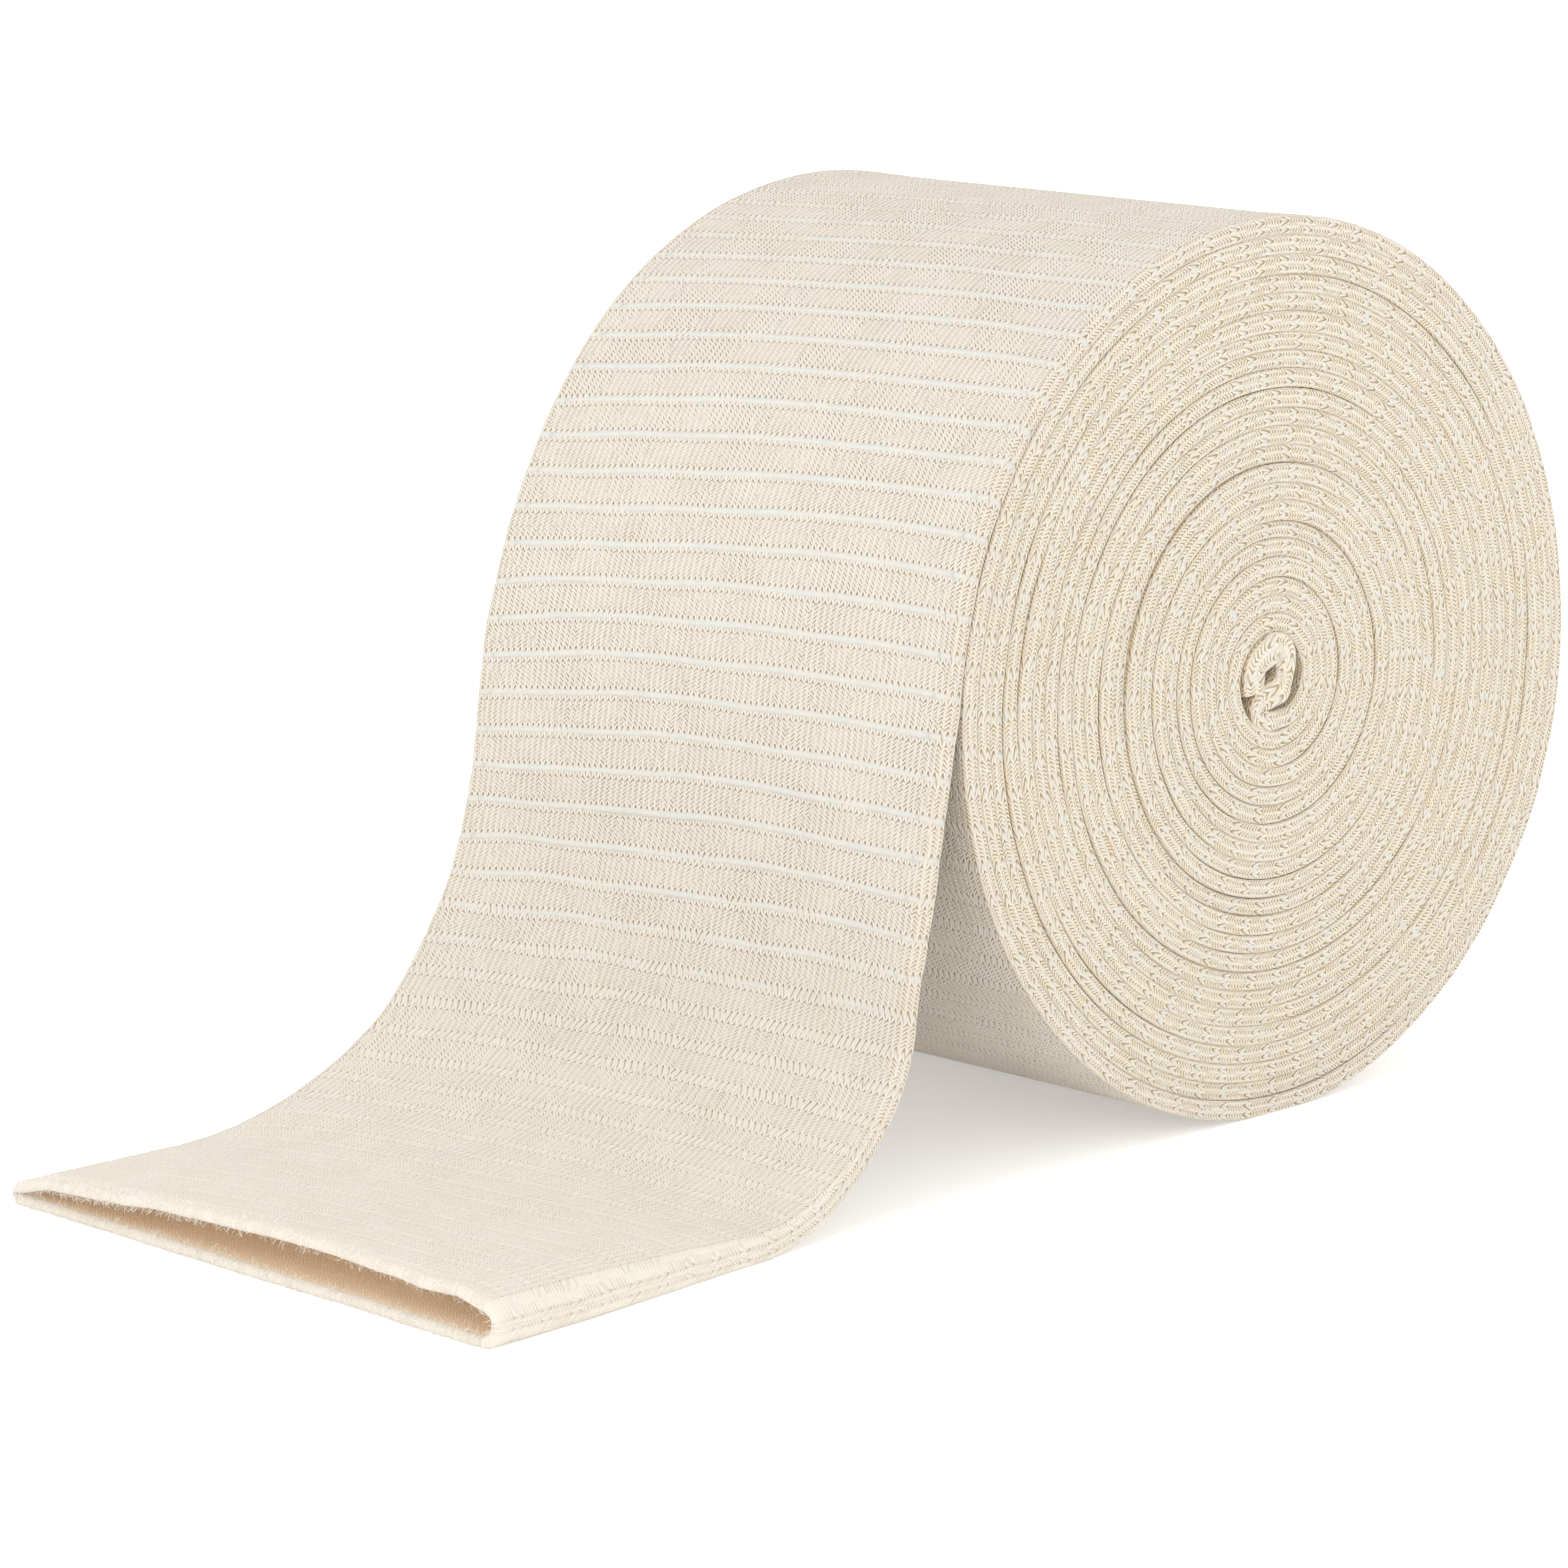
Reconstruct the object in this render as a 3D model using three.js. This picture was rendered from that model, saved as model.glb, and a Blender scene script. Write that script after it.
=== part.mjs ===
// A roll of elasticated tubular bandage: one long seamless knitted tube, pressed flat and wound up, with its
// free end hanging down the front, bending out along the floor and gaping open at the cut. Millimetres, +Z up.
// The roll's axis lies along Y, its spiral face looks to -Y, and the free end points to -X.
import * as THREE from 'three';

// Driving sizes of the knitted tube
const flatWidth = 87.5;
const plyThickness = 1.2;

// Driving sizes of the roll
const rollDiameter = 130.5;
const turnClearance = 0.25;
const ovalShare = 0.015;
const ovalAngle = 146;
const coreFoldReach = 1.75;
const coarseTurnRadius = 26;

// Driving sizes of the free end: where it leaves the roll, how it hangs, bends and lies
const nearLeaveAngle = 166;
const farLeaveAngle = 142;
const nearHangLean = 11;
const farHangLean = 9;
const slackRadius = 84;
const nearBendRadius = 30;
const farBendRadius = 57;
const flatRun = 50;
const jointClearance = 0.3;

// Driving sizes of the gaping mouth and of the slit that the hollow narrows to
const mouthHollow = 5.0;
const mouthTaper = 80;
const mouthWidth = 97;
const flareLength = 75;
const slitHeight = 0.2;

// Steps round a turn: fine turns have this many sides, and the turns near the core half as many. The split and
// the start of the turns are counted in steps from the front, so that the corners of all turns lie in line.
const sidesPerTurn = 32;
const splitSteps = 3.5;
const coreLeadSteps = 18;
const fineStep = 360 / sidesPerTurn;
const splitAngle = 180 - splitSteps * fineStep;
const coreLeadAngle = coreLeadSteps * fineStep;

// How far the mouth gapes across the width, as a share of its full height: blunt near fold, pointed far fold
const mouthSections = [
  { across: 0.0, gape: 0.72 },
  { across: 0.05, gape: 0.97 },
  { across: 0.3, gape: 0.94 },
  { across: 0.55, gape: 0.97 },
  { across: 0.78, gape: 0.82 },
  { across: 0.93, gape: 0.46 },
  { across: 1.0, gape: 0.08 },
];

// The crumpled inner end, folded to and fro across the core; right and up are shares of the fold's own unit
const coreFold = [
  { right: -0.6, up: 1.08 },
  { right: -0.2, up: 1.06 },
  { right: 0.14, up: 0.98 },
  { right: 0.67, up: 0.45 },
  { right: 0.14, up: -0.08 },
  { right: -0.62, up: -0.14 },
  { right: -1.16, up: -0.68 },
  { right: -0.62, up: -1.24 },
  { right: 0.1, up: -1.6 },
];
const coreFoldSteps = 20;

// How finely the free end is drawn, and where the corners of a rounded fold lie through its thickness
const stations = 30;
const arcSteps = 24;
const foldCorners = [0.75, 0.25];

const bandThickness = 2 * plyThickness;
const turnPitch = bandThickness + turnClearance;
const radians = (degrees) => THREE.MathUtils.degToRad(degrees);

// Middle of the band at an unwound angle: 180 is the front of the outermost turn, smaller angles lie inside it
function bandRadius(angle) {
  const round = rollDiameter / 2 - plyThickness - (turnPitch * (180 - angle)) / 360;
  return round * (1 + ovalShare * Math.cos(2 * radians(angle - ovalAngle)));
}

// The whole turns between the core and the split, as many as leave room for the folded inner end
const splitRadius = rollDiameter / 2 - plyThickness - (turnPitch * (180 - splitAngle)) / 360;
const turnsThatFit = (splitRadius - coreFoldReach * turnPitch) / turnPitch;
const wholeTurns = Math.floor(turnsThatFit - coreLeadAngle / 360);
const coreAngle = splitAngle - coreLeadAngle - 360 * wholeTurns;
const foldUnit = bandRadius(coreAngle) / coreFoldReach;

// The lowest corner of the wound band decides how high the roll's axis lies above the floor
function axisHeight() {
  let lowest = 0;
  for (let angle = splitAngle - 360; angle <= splitAngle; angle += fineStep) {
    lowest = Math.min(lowest, (bandRadius(angle) + plyThickness) * Math.sin(radians(angle)));
  }
  return -lowest;
}
const rollAxisHeight = axisHeight();

function rollPoint(angle, lift) {
  const out = new THREE.Vector2(Math.cos(radians(angle)), Math.sin(radians(angle)));
  return out.multiplyScalar(bandRadius(angle) + lift).add(new THREE.Vector2(0, rollAxisHeight));
}

// One edge of the band at one place: a point on the cloth's back and the direction that its face looks in
function edge(point, outward) {
  return { point, outward };
}

// A ring of points round the flat band, from the far fold over the face to the near fold and back underneath.
// inset draws it inside the wall, and thicknessAt gives the band's thickness at a share of the way across.
function bandRing(near, far, halfSpan, acrossShares, thicknessAt, inset) {
  const nearY = -(halfSpan - thicknessAt(0) / 2);
  const farY = halfSpan - thicknessAt(1) / 2;
  const place = (across, height, y) => {
    const point = near.point.clone().lerp(far.point, across);
    const outward = near.outward.clone().lerp(far.outward, across).normalize();
    point.addScaledVector(outward, height);
    return new THREE.Vector3(point.x, y, point.y);
  };
  const face = [];
  const back = [];
  for (const across of acrossShares) {
    const y = THREE.MathUtils.lerp(nearY, farY, across);
    face.push(place(across, thicknessAt(across) - inset, y));
    back.push(place(across, inset, y));
  }
  const foldHeight = (across, share) => THREE.MathUtils.lerp(inset, thicknessAt(across) - inset, share);
  const nearFold = foldCorners.map((share) => place(0, foldHeight(0, share), -(halfSpan - inset)));
  const farFold = foldCorners.map((share) => place(1, foldHeight(1, share), halfSpan - inset));
  return [farFold[0], ...face.reverse(), ...nearFold, ...back, farFold[1]];
}

// Faces between rings: a skin along them, a cap across one of them, and a rim between an outer and an inner one
function quad(indices, a, b, c, d) {
  indices.push(a, b, c, a, c, d);
}

function addSkin(indices, firstRing, ringCount, size, inward) {
  for (let ring = firstRing; ring < firstRing + ringCount - 1; ring += 1) {
    for (let i = 0; i < size; i += 1) {
      const next = (i + 1) % size;
      const here = ring * size;
      const corners = [here + i, here + size + i, here + size + next, here + next];
      quad(indices, ...(inward ? corners.reverse() : corners));
    }
  }
}

function addCap(indices, ring, size, reversed) {
  for (let i = 0; i < size / 2 - 1; i += 1) {
    const start = ring * size;
    const corners = [start + i, start + i + 1, start + size - 2 - i, start + size - 1 - i];
    quad(indices, ...(reversed ? corners.reverse() : corners));
  }
}

function addRim(indices, outerRing, innerRing, size) {
  for (let i = 0; i < size; i += 1) {
    const next = (i + 1) % size;
    quad(indices, outerRing * size + i, innerRing * size + i, innerRing * size + next, outerRing * size + next);
  }
}

function solid(name, rings, indices, material) {
  const geometry = new THREE.BufferGeometry().setFromPoints(rings.flat());
  geometry.setIndex(indices);
  geometry.computeVertexNormals();
  const mesh = new THREE.Mesh(geometry, material);
  mesh.name = name;
  return mesh;
}

// The wound band: its folded inner end in the core, then the turns, coarse near the core and fine outside
function windingEdges() {
  const corners = coreFold.map(({ right, up }) => new THREE.Vector2(right, up).multiplyScalar(foldUnit));
  const turnsStart = rollPoint(coreAngle, 0).sub(new THREE.Vector2(0, rollAxisHeight));
  const fold = new THREE.SplineCurve([...corners, turnsStart]);
  const edges = [];
  for (let step = 0; step < coreFoldSteps; step += 1) {
    const share = step / coreFoldSteps;
    const along = fold.getTangentAt(share);
    const outward = new THREE.Vector2(along.y, -along.x);
    const middle = fold.getPointAt(share).add(new THREE.Vector2(0, rollAxisHeight));
    edges.push(edge(middle.addScaledVector(outward, -plyThickness), outward));
  }
  let angle = coreAngle;
  while (angle < splitAngle + fineStep / 2) {
    const outward = new THREE.Vector2(Math.cos(radians(angle)), Math.sin(radians(angle)));
    edges.push(edge(rollPoint(angle, -plyThickness), outward));
    angle += bandRadius(angle) < coarseTurnRadius ? 2 * fineStep : fineStep;
  }
  return edges;
}

function woundRoll(material) {
  const rings = windingEdges().map((side) => bandRing(side, side, flatWidth / 2, [0, 1], () => bandThickness, 0));
  const size = rings[0].length;
  const indices = [];
  addSkin(indices, 0, rings.length, size, false);
  addCap(indices, 0, size, false);
  addCap(indices, rings.length - 1, size, true);
  return solid('wound_roll', rings, indices, material);
}

// Each edge of the free end is the path of the cloth's back: round the roll, slack, straight, bent, then flat
function leaningDown(lean) {
  return new THREE.Vector2(-Math.sin(radians(lean)), -Math.cos(radians(lean)));
}

function rollLean(angle) {
  const nudge = fineStep / 20;
  const along = rollPoint(angle + nudge, -plyThickness).sub(rollPoint(angle - nudge, -plyThickness));
  return THREE.MathUtils.radToDeg(Math.atan2(-along.x, -along.y));
}

function addArc(path, centre, radius, startLean, endLean, bulge) {
  for (let step = 1; step <= arcSteps; step += 1) {
    const lean = THREE.MathUtils.lerp(startLean, endLean, step / arcSteps);
    const out = new THREE.Vector2(-Math.cos(radians(lean)), Math.sin(radians(lean)));
    path.push(centre.clone().addScaledVector(out, bulge * radius));
  }
}

function freePath(leaveAngle, hangLean, bendRadius) {
  const path = [];
  const startAngle = splitAngle + THREE.MathUtils.radToDeg(jointClearance / bandRadius(splitAngle));
  for (let step = 0; step <= arcSteps; step += 1) {
    path.push(rollPoint(THREE.MathUtils.lerp(startAngle, leaveAngle, step / arcSteps), -plyThickness));
  }
  const leave = path.at(-1).clone();
  const leaveLean = rollLean(leaveAngle);
  const slackOut = new THREE.Vector2(-Math.cos(radians(leaveLean)), Math.sin(radians(leaveLean)));
  addArc(path, leave.addScaledVector(slackOut, -slackRadius), slackRadius, leaveLean, hangLean, 1);
  const backBendRadius = bendRadius + plyThickness;
  const bendTop = backBendRadius * (1 - Math.sin(radians(hangLean)));
  const hang = Math.max(0, (path.at(-1).y - bendTop) / Math.cos(radians(hangLean)));
  const bendStart = path.at(-1).clone().addScaledVector(leaningDown(hangLean), hang);
  path.push(bendStart);
  const bendOut = new THREE.Vector2(-Math.cos(radians(hangLean)), Math.sin(radians(hangLean)));
  const bendCentre = bendStart.clone().addScaledVector(bendOut, backBendRadius);
  addArc(path, bendCentre, backBendRadius, hangLean, 90, -1);
  return path;
}

// Points and face directions at even shares of a path that ends flat on the floor at the mouth
function walk(path, mouthX) {
  path.push(new THREE.Vector2(mouthX, path.at(-1).y));
  const lengths = [0];
  for (let i = 1; i < path.length; i += 1) {
    lengths.push(lengths[i - 1] + path[i].distanceTo(path[i - 1]));
  }
  const total = lengths.at(-1);
  const pointAt = (distance) => {
    let i = 1;
    while (i < path.length - 1 && lengths[i] < distance) i += 1;
    const share = (distance - lengths[i - 1]) / (lengths[i] - lengths[i - 1]);
    return path[i - 1].clone().lerp(path[i], share);
  };
  const chord = total / stations / 8;
  const edges = [];
  for (let station = 0; station <= stations; station += 1) {
    const distance = (total * station) / stations;
    const before = pointAt(Math.max(0, distance - chord));
    const along = pointAt(Math.min(total, distance + chord)).sub(before).normalize();
    edges.push(edge(pointAt(distance), new THREE.Vector2(along.y, -along.x)));
  }
  return { edges, total };
}

// How high the tube gapes at a share of the way across, at a distance from the mouth
function hollowAt(across, fromMouth) {
  const right = mouthSections.findIndex((section) => section.across >= across);
  const a = mouthSections[Math.max(0, right - 1)];
  const b = mouthSections[right];
  const share = b.across === a.across ? 0 : (across - a.across) / (b.across - a.across);
  const gape = THREE.MathUtils.lerp(a.gape, b.gape, share);
  const open = 0.5 + 0.5 * Math.cos(Math.PI * Math.min(1, fromMouth / mouthTaper));
  return slitHeight + (mouthHollow - slitHeight) * gape * open;
}

// The relaxed end is wider than the wound band
function halfSpanAt(fromMouth) {
  const flare = THREE.MathUtils.smootherstep(flareLength - fromMouth, 0, flareLength);
  return THREE.MathUtils.lerp(flatWidth, mouthWidth, flare) / 2;
}

function freeEnd(material) {
  const nearPath = freePath(nearLeaveAngle, nearHangLean, nearBendRadius);
  const farPath = freePath(farLeaveAngle, farHangLean, farBendRadius);
  const mouthX = nearPath.at(-1).x - flatRun;
  const near = walk(nearPath, mouthX);
  const far = walk(farPath, mouthX);
  const leaveShare = (bandRadius(180) * radians(nearLeaveAngle - splitAngle)) / near.total;
  const hollowStart = Math.ceil(stations * leaveShare);
  const acrossShares = mouthSections.map((section) => section.across);
  const outer = [];
  const inner = [];
  for (let station = 0; station <= stations; station += 1) {
    const fromMouth = near.total * (1 - station / stations);
    const hollow = (across) => (station < hollowStart ? 0 : hollowAt(across, fromMouth));
    const thickness = (across) => bandThickness + hollow(across);
    const sides = [near.edges[station], far.edges[station], halfSpanAt(fromMouth), acrossShares, thickness];
    outer.push(bandRing(...sides, 0));
    if (station >= hollowStart) {
      inner.push(bandRing(...sides, plyThickness));
    }
  }
  const size = outer[0].length;
  const indices = [];
  addSkin(indices, 0, outer.length, size, false);
  addCap(indices, 0, size, false);
  addSkin(indices, outer.length, inner.length, size, true);
  addCap(indices, outer.length, size, true);
  addRim(indices, outer.length - 1, outer.length + inner.length - 1, size);
  return solid('free_end', [...outer, ...inner], indices, material);
}

// Natural cream cotton knit, matt and soft
const knit = new THREE.MeshStandardMaterial({ color: 0xf0e6d2, roughness: 0.95, metalness: 0 });

const bandage = new THREE.Group();
bandage.add(woundRoll(knit), freeEnd(knit.clone()));

// The origin is the middle of the bandage's outline on the floor
const extent = new THREE.Box3().setFromObject(bandage);
const middle = extent.getCenter(new THREE.Vector3());
bandage.position.set(-middle.x, -middle.y, -extent.min.z);
bandage.updateMatrixWorld(true);

export default bandage;
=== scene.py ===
# A roll of elasticated tubular bandage: one long seamless knitted tube, pressed flat and wound up, with its
# free end hanging down the front, bending out along the floor and gaping open at the cut. Metres, +Z up. The
# roll's axis lies along Y, its spiral face looks to -Y, and the free end points to -X.
import math

import bpy
import numpy as np
from mathutils import Matrix, Vector


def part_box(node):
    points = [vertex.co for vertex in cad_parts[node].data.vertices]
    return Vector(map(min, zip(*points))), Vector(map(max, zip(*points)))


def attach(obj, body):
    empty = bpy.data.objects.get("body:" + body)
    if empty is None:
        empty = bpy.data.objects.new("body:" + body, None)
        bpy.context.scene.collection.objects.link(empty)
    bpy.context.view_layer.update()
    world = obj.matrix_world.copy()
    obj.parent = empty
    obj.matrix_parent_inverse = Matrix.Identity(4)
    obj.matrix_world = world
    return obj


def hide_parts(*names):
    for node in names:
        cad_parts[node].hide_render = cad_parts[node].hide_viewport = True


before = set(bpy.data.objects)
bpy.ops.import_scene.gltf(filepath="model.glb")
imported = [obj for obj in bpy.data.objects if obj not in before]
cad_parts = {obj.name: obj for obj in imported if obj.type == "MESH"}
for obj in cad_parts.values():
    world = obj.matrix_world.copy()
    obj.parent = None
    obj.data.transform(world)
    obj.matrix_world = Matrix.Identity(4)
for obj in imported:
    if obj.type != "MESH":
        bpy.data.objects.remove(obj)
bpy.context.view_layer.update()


# The wound roll is the knitted tube itself: cotton jersey, pressed flat to two plies and rolled up from an
# inner end that is folded to and fro. Nothing fixes it: each turn grips the one inside it, and on the faces
# the folded edges stand a little proud of each other or behind.
FLAT_WIDTH = 0.0875
PLY = 0.0012
TURN_PITCH = 0.00265
ROLL_DIAMETER = 0.1305
OVAL_SHARE = 0.015
OVAL_ANGLE = 146
SIDES_PER_TURN = 32
FINE_STEP = 360 / SIDES_PER_TURN
SPLIT_ANGLE = 180 - 3.5 * FINE_STEP
CORE_LEAD_ANGLE = 18 * FINE_STEP
CORE_FOLD_REACH = 1.75
CORE_FOLD = [
    {"right": -1.14, "up": -0.5},
    {"right": -1.11, "up": 0.52},
    {"right": -0.34, "up": 1.13},
    {"right": 0.44, "up": 0.9},
    {"right": 0.66, "up": 0.22},
    {"right": 0.3, "up": -0.28},
    {"right": -0.1, "up": -0.56},
    {"right": -0.66, "up": -0.95},
    {"right": -0.78, "up": -1.3},
    {"right": -0.3, "up": -1.62},
]
TUBE_ROUND = 2 * FLAT_WIDTH
FOLD_DEPTH = 0.0012
FOLD_SQUARENESS = 0.34
FOLD_SWELL = 0.142
SNUG_SWELL = 0.022
SNUG_ANGLE = 40
SWELL_REACH = 0.004
CORE_LOFT = 0.74
CORE_LOFT_END = 0.028
CORE_CURVE_STEPS = 30
LOOSE_AFTER = 0.05
EDGE_WAVES = [
    {"size": 0.00028, "length": 0.13, "seed": 11},
    {"size": 0.00016, "length": 0.024, "seed": 12},
    {"size": 0.00008, "length": 0.007, "seed": 13},
]
SWELL_WAVES = [
    {"size": 0.05, "length": 0.03, "seed": 14},
    {"size": 0.04, "length": 0.011, "seed": 17},
]
LIFT_WAVES = [{"size": 0.00007, "length": 0.045, "seed": 15}]
CORE_CRUMPLES = [{"size": 0.0011, "length": 0.0035, "seed": 16}]
WIND_STEP_SHARE = 0.05
WIND_STEP_LEAST = 0.0008
WIND_STEP_MOST = 0.0030
INSIDE_SHIFT = 1.0
CAP_PLACE = (TUBE_ROUND / 2, 8.0)
PLACE_AT_SPLIT = 0.2
COURSE_BOW = -0.0017
COURSE_SKEW = 0.0028
COURSE_WAVES = [
    {"size": 0.0004, "length": 0.021, "seed": 5, "lean": 0.4},
    {"size": 0.00025, "length": 0.009, "seed": 6, "lean": -0.7},
]
WANDER_KNOTS = 8192


def band_radius(angle):
    """Middle of the band at an unwound angle: 180 is the front of the outermost turn, less lies inside it."""
    plain = ROLL_DIAMETER / 2 - PLY - TURN_PITCH * (180 - angle) / 360
    return plain * (1 + OVAL_SHARE * np.cos(2 * np.radians(angle - OVAL_ANGLE)))


def way_out(angle):
    """The way out from the roll's axis at an angle, as x and z."""
    return np.stack([np.cos(np.radians(angle)), np.sin(np.radians(angle))], axis=-1)


last_turn = SPLIT_ANGLE - FINE_STEP * np.arange(SIDES_PER_TURN + 1)
last_corners = (band_radius(last_turn) + PLY)[:, None] * way_out(last_turn)
roll_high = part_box("wound_roll")[1]
roll_axis = np.array([roll_high.x - last_corners[:, 0].max(), -last_corners[:, 1].min()])


def roll_point(angle, lift=0.0):
    """A point of the wound band, as x and z, lifted off the middle of the band."""
    return roll_axis + (band_radius(angle) + lift)[..., None] * way_out(angle)


def wander(place, wavelength, seed):
    """A smooth random line from -1 to 1 that changes over about one wavelength."""
    knots = np.random.default_rng(seed).uniform(-1, 1, WANDER_KNOTS)
    at = np.asarray(place, float) / wavelength
    low = np.floor(at).astype(int)
    share = at - low
    share = share * share * (3 - 2 * share)
    return knots[low % WANDER_KNOTS] * (1 - share) + knots[(low + 1) % WANDER_KNOTS] * share


def waves(along, rows, y=0.0):
    """The sum of random lines along the band, one for each row. A row with a lean runs askew across it."""
    total = 0
    for row in rows:
        place = along + row.get("lean", 0.0) * y
        total = total + row["size"] * wander(place, row["length"], row["seed"])
    return total


def ramp(share):
    """0 below 0, 1 above 1, and a smooth rise between."""
    share = np.clip(share, 0, 1)
    return share * share * (3 - 2 * share)


def smooth_through(corners, steps):
    """Points along a smooth curve through the corners."""
    ends = np.vstack([corners[:1], corners, corners[-1:]])
    points = []
    for before, here, there, after in zip(ends[:-3], ends[1:-2], ends[2:-1], ends[3:]):
        t = np.linspace(0, 1, steps, endpoint=False)[:, None]
        leave = (there - before) / 2
        arrive = (after - here) / 2
        cubed = (2 * here - 2 * there + leave + arrive) * t**3
        squared = (3 * there - 3 * here - 2 * leave - arrive) * t**2
        points.append(cubed + squared + leave * t + here)
    return np.vstack([*points, corners[-1:]])


def lengths_along(path):
    """The distance walked to each point of a path."""
    return np.concatenate([[0], np.cumsum(np.linalg.norm(np.diff(path, axis=0), axis=1))])


def walk(path, distances, nudge):
    """Points of a path at given distances, and the way that the cloth's face looks there."""
    walked = lengths_along(path)

    def at(distance):
        return np.stack([np.interp(distance, walked, path[:, k]) for k in (0, 1)], axis=1)

    along = at(np.minimum(distances + nudge, walked[-1])) - at(np.maximum(distances - nudge, 0))
    along /= np.linalg.norm(along, axis=1)[:, None]
    return at(distances), np.stack([along[:, 1], -along[:, 0]], axis=1)


def tube_columns(face_steps, back_steps, fold_steps):
    """Round the pressed tube from the middle of its back: the share across, 0 near to 1 far, then how far up
    to the face each column stands, from -1 at the back to 1, and how far out into the folds."""
    half = back_steps // 2
    fold = np.arange(1, fold_steps + 1) * 180 / (fold_steps + 1)
    across = np.concatenate([
        np.linspace(0.5, 1, half + 1), np.ones(fold_steps), np.linspace(1, 0, face_steps + 1),
        np.zeros(fold_steps), np.linspace(0, 0.5, half + 1)[:-1]])
    angle = np.concatenate([
        np.full(half + 1, 270.0), 270 + fold, np.full(face_steps + 1, 90.0), 90 + fold, np.full(half, 270.0)])
    height = np.sin(np.radians(angle))
    sideways = np.cos(np.radians(angle))
    sideways[np.abs(sideways) < 1e-9] = 0
    return across, height, sideways


def squared_off(round_part, power):
    """Part of a circle pressed towards a square, the more the smaller the power is under 1."""
    return np.sign(round_part) * np.abs(round_part) ** power


def round_the_tube(y, height):
    """How far round the tube each column lies from the middle of its back, and where the ring shuts."""
    ring = np.stack([np.append(y, y[0]), np.append(height, height[0])], axis=1)
    walked = lengths_along(ring)
    return walked / walked[-1] * TUBE_ROUND


def courses_from(along, y):
    """The knit's own place along the band: its courses run a little askew and bowed across it."""
    share = y / (FLAT_WIDTH / 2)
    along = along + PLACE_AT_SPLIT
    return along + COURSE_SKEW * share + COURSE_BOW * (1 - share**2) + waves(along, COURSE_WAVES, y)


def cloth_object(name, points, around, along, inside_from=None):
    """A closed skin over rings of points, shut at the first and last ring. around and along are each corner's
    place in the knit. From one row on, the skin is the inside of the tube, and its places are shifted."""
    rings, size = points.shape[:2]
    row, column = (grid.ravel() for grid in np.meshgrid(np.arange(rings - 1), np.arange(size), indexing="ij"))
    after = (column + 1) % size
    quads = np.stack([row * size + column, (row + 1) * size + column,
                      (row + 1) * size + after, row * size + after], axis=1)
    shift = 0.0 if inside_from is None else INSIDE_SHIFT * (row >= inside_from)[:, None]
    u = np.stack([around[row, column], around[row + 1, column],
                  around[row + 1, column + 1], around[row, column + 1]], axis=1) + shift
    v = np.stack([along[row, column], along[row + 1, column],
                  along[row + 1, after], along[row, after]], axis=1)
    first_cap = list(range(size))
    last_cap = list(range((rings - 1) * size, rings * size))[::-1]
    mesh = bpy.data.meshes.new(name)
    mesh.from_pydata(points.reshape(-1, 3).tolist(), [], [*quads.tolist(), first_cap, last_cap])
    mesh.shade_smooth()
    ends = np.empty(len(mesh.edges) * 2, int)
    mesh.edges.foreach_get("vertices", ends)
    rows = ends.reshape(-1, 2) // size
    rim = (rows[:, 0] == rows[:, 1]) & ((rows[:, 0] == 0) | (rows[:, 0] == rings - 1))
    mesh.edges.foreach_set("use_edge_sharp", rim)
    knit = np.tile(CAP_PLACE, (len(mesh.loops), 1))
    knit[: u.size, 0] = u.ravel()
    knit[: v.size, 1] = v.ravel()
    mesh.uv_layers.new(name="knit").data.foreach_set("uv", knit.ravel())
    piece = bpy.data.objects.new(name, mesh)
    bpy.context.scene.collection.objects.link(piece)
    return piece


split_radius = ROLL_DIAMETER / 2 - PLY - TURN_PITCH * (180 - SPLIT_ANGLE) / 360
turns_that_fit = (split_radius - CORE_FOLD_REACH * TURN_PITCH) / TURN_PITCH
whole_turns = math.floor(turns_that_fit - CORE_LEAD_ANGLE / 360)
core_angle = SPLIT_ANGLE - CORE_LEAD_ANGLE - 360 * whole_turns
fold_unit = band_radius(core_angle) / CORE_FOLD_REACH
turns_path = roll_point(np.linspace(core_angle, SPLIT_ANGLE, 360 * whole_turns))
fold_corners = roll_axis + fold_unit * np.array([[corner["right"], corner["up"]] for corner in CORE_FOLD])
core_path = smooth_through(np.vstack([fold_corners, turns_path[:1]]), CORE_CURVE_STEPS)
winding = np.vstack([core_path[:-1], turns_path])
winding_length = lengths_along(winding)[-1]

steps = [0.0]
while steps[-1] < winding_length:
    spot = walk(winding, np.array(steps[-1:]), WIND_STEP_LEAST)[0][0]
    reach = np.linalg.norm(spot - roll_axis)
    steps.append(steps[-1] + np.clip(reach * WIND_STEP_SHARE, WIND_STEP_LEAST, WIND_STEP_MOST))
steps = np.array(steps) * winding_length / steps[-1]
middle, outward = walk(winding, steps, WIND_STEP_LEAST / 4)
from_split = winding_length - steps
loosened = ramp(from_split / LOOSE_AFTER)

across, height, sideways = tube_columns(face_steps=10, back_steps=4, fold_steps=9)
height = squared_off(height, FOLD_SQUARENESS)
sideways = squared_off(sideways, FOLD_SQUARENESS)
in_core = 1 - ramp((steps - CORE_LOFT_END / 2) / (CORE_LOFT_END / 2))
stand_out = loosened * waves(from_split, EDGE_WAVES) + in_core * waves(steps, CORE_CRUMPLES)
bearing = np.arctan2(middle[:, 1] - roll_axis[1], middle[:, 0] - roll_axis[0])
snug = SNUG_SWELL * np.cos(bearing - math.radians(SNUG_ANGLE))
swell = FOLD_SWELL + loosened * (snug + waves(from_split, SWELL_WAVES))
half_run = FLAT_WIDTH / 2 - FOLD_DEPTH
y = (2 * across - 1)[None, :] * half_run + FOLD_DEPTH * sideways[None, :] + stand_out[:, None]
edge_nearness = np.exp(-((half_run - np.abs(2 * across - 1) * half_run) / SWELL_REACH) ** 2)
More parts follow.
